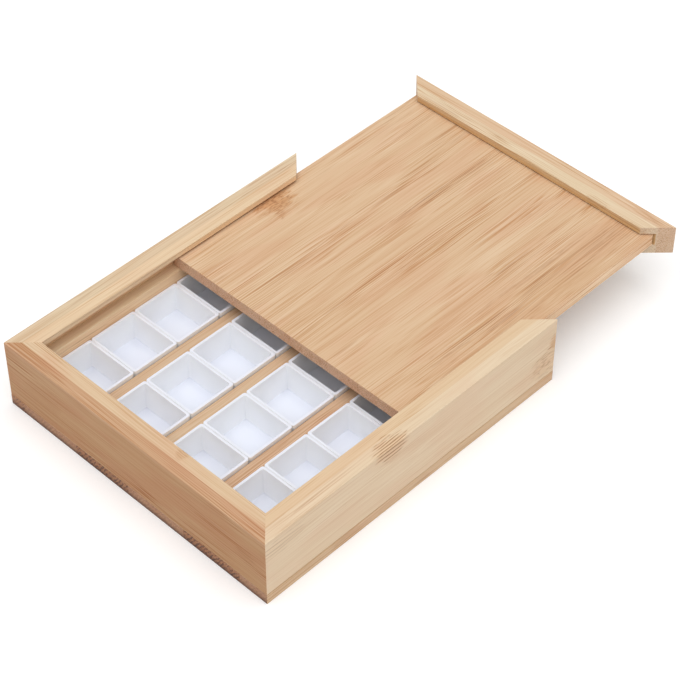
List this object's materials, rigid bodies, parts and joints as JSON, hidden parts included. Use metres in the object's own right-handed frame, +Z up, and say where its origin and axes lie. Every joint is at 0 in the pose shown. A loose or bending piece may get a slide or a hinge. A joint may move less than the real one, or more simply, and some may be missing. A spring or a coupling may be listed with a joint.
{
  "type": "watercolour palette box",
  "caption": "Bamboo watercolour palette box: mitred walls grooved for a sliding lid with a pull bar, and rows of lift-out white paint pans between wooden strips.",
  "frame": {"origin": "centre of the box's underside, on the surface that it stands on", "axes": "+Z up, +Y the way the lid slides out, +X across the rows of pans towards the right wall"},
  "size_m": [0.116, 0.1876, 0.027],
  "materials": {
    "wall_bamboo": "sanded satin bamboo, fine straight grain",
    "bottom_bamboo": "sanded bamboo panel",
    "lid_bamboo": "sanded satin bamboo, fine straight grain",
    "divider_bamboo": "sanded bamboo strip",
    "pan_plastic": "smooth white moulded plastic"
  },
  "bodies": {
    "box": {"front_wall": "wall_bamboo", "left_wall": "wall_bamboo", "right_wall": "wall_bamboo", "back_wall": "wall_bamboo", "bottom_panel": "bottom_bamboo", "divider_1": "divider_bamboo", "divider_2": "divider_bamboo", "divider_3": "divider_bamboo"},
    "lid": {"lid_panel": "lid_bamboo", "pull_bar": "wall_bamboo"},
    "pan_r1c1": {"pan_r1c1": "pan_plastic"},
    "pan_r1c2": {"pan_r1c2": "pan_plastic"},
    "pan_r1c3": {"pan_r1c3": "pan_plastic"},
    "pan_r1c4": {"pan_r1c4": "pan_plastic"},
    "pan_r1c5": {"pan_r1c5": "pan_plastic"},
    "pan_r1c6": {"pan_r1c6": "pan_plastic"},
    "pan_r2c1": {"pan_r2c1": "pan_plastic"},
    "pan_r2c2": {"pan_r2c2": "pan_plastic"},
    "pan_r2c3": {"pan_r2c3": "pan_plastic"},
    "pan_r2c4": {"pan_r2c4": "pan_plastic"},
    "pan_r2c5": {"pan_r2c5": "pan_plastic"},
    "pan_r2c6": {"pan_r2c6": "pan_plastic"},
    "pan_r3c1": {"pan_r3c1": "pan_plastic"},
    "pan_r3c2": {"pan_r3c2": "pan_plastic"},
    "pan_r3c3": {"pan_r3c3": "pan_plastic"},
    "pan_r3c4": {"pan_r3c4": "pan_plastic"},
    "pan_r3c5": {"pan_r3c5": "pan_plastic"},
    "pan_r3c6": {"pan_r3c6": "pan_plastic"},
    "pan_r4c1": {"pan_r4c1": "pan_plastic"},
    "pan_r4c2": {"pan_r4c2": "pan_plastic"},
    "pan_r4c3": {"pan_r4c3": "pan_plastic"},
    "pan_r4c4": {"pan_r4c4": "pan_plastic"},
    "pan_r4c5": {"pan_r4c5": "pan_plastic"},
    "pan_r4c6": {"pan_r4c6": "pan_plastic"}
  },
  "joints": [
    {"name": "lid_slide", "type": "slide", "parent": "box", "child": "lid", "axis": [0, 1, 0], "range_m": [-0.0595, 0.0617]},
    {"name": "pan_r1c1_lift", "type": "slide", "parent": "box", "child": "pan_r1c1", "axis": [0, 0, 1], "range_m": [0, 0.025]},
    {"name": "pan_r1c2_lift", "type": "slide", "parent": "box", "child": "pan_r1c2", "axis": [0, 0, 1], "range_m": [0, 0.025]},
    {"name": "pan_r1c3_lift", "type": "slide", "parent": "box", "child": "pan_r1c3", "axis": [0, 0, 1], "range_m": [0, 0.025]},
    {"name": "pan_r1c4_lift", "type": "slide", "parent": "box", "child": "pan_r1c4", "axis": [0, 0, 1], "range_m": [0, 0.0035]},
    {"name": "pan_r1c5_lift", "type": "slide", "parent": "box", "child": "pan_r1c5", "axis": [0, 0, 1], "range_m": [0, 0.0035]},
    {"name": "pan_r1c6_lift", "type": "slide", "parent": "box", "child": "pan_r1c6", "axis": [0, 0, 1], "range_m": [0, 0.0035]},
    {"name": "pan_r2c1_lift", "type": "slide", "parent": "box", "child": "pan_r2c1", "axis": [0, 0, 1], "range_m": [0, 0.025]},
    {"name": "pan_r2c2_lift", "type": "slide", "parent": "box", "child": "pan_r2c2", "axis": [0, 0, 1], "range_m": [0, 0.025]},
    {"name": "pan_r2c3_lift", "type": "slide", "parent": "box", "child": "pan_r2c3", "axis": [0, 0, 1], "range_m": [0, 0.025]},
    {"name": "pan_r2c4_lift", "type": "slide", "parent": "box", "child": "pan_r2c4", "axis": [0, 0, 1], "range_m": [0, 0.0035]},
    {"name": "pan_r2c5_lift", "type": "slide", "parent": "box", "child": "pan_r2c5", "axis": [0, 0, 1], "range_m": [0, 0.0035]},
    {"name": "pan_r2c6_lift", "type": "slide", "parent": "box", "child": "pan_r2c6", "axis": [0, 0, 1], "range_m": [0, 0.0035]},
    {"name": "pan_r3c1_lift", "type": "slide", "parent": "box", "child": "pan_r3c1", "axis": [0, 0, 1], "range_m": [0, 0.025]},
    {"name": "pan_r3c2_lift", "type": "slide", "parent": "box", "child": "pan_r3c2", "axis": [0, 0, 1], "range_m": [0, 0.025]},
    {"name": "pan_r3c3_lift", "type": "slide", "parent": "box", "child": "pan_r3c3", "axis": [0, 0, 1], "range_m": [0, 0.025]},
    {"name": "pan_r3c4_lift", "type": "slide", "parent": "box", "child": "pan_r3c4", "axis": [0, 0, 1], "range_m": [0, 0.0035]},
    {"name": "pan_r3c5_lift", "type": "slide", "parent": "box", "child": "pan_r3c5", "axis": [0, 0, 1], "range_m": [0, 0.0035]},
    {"name": "pan_r3c6_lift", "type": "slide", "parent": "box", "child": "pan_r3c6", "axis": [0, 0, 1], "range_m": [0, 0.0035]},
    {"name": "pan_r4c1_lift", "type": "slide", "parent": "box", "child": "pan_r4c1", "axis": [0, 0, 1], "range_m": [0, 0.025]},
    {"name": "pan_r4c2_lift", "type": "slide", "parent": "box", "child": "pan_r4c2", "axis": [0, 0, 1], "range_m": [0, 0.025]},
    {"name": "pan_r4c3_lift", "type": "slide", "parent": "box", "child": "pan_r4c3", "axis": [0, 0, 1], "range_m": [0, 0.025]},
    {"name": "pan_r4c4_lift", "type": "slide", "parent": "box", "child": "pan_r4c4", "axis": [0, 0, 1], "range_m": [0, 0.0035]},
    {"name": "pan_r4c5_lift", "type": "slide", "parent": "box", "child": "pan_r4c5", "axis": [0, 0, 1], "range_m": [0, 0.0035]},
    {"name": "pan_r4c6_lift", "type": "slide", "parent": "box", "child": "pan_r4c6", "axis": [0, 0, 1], "range_m": [0, 0.0035]}
  ]
}
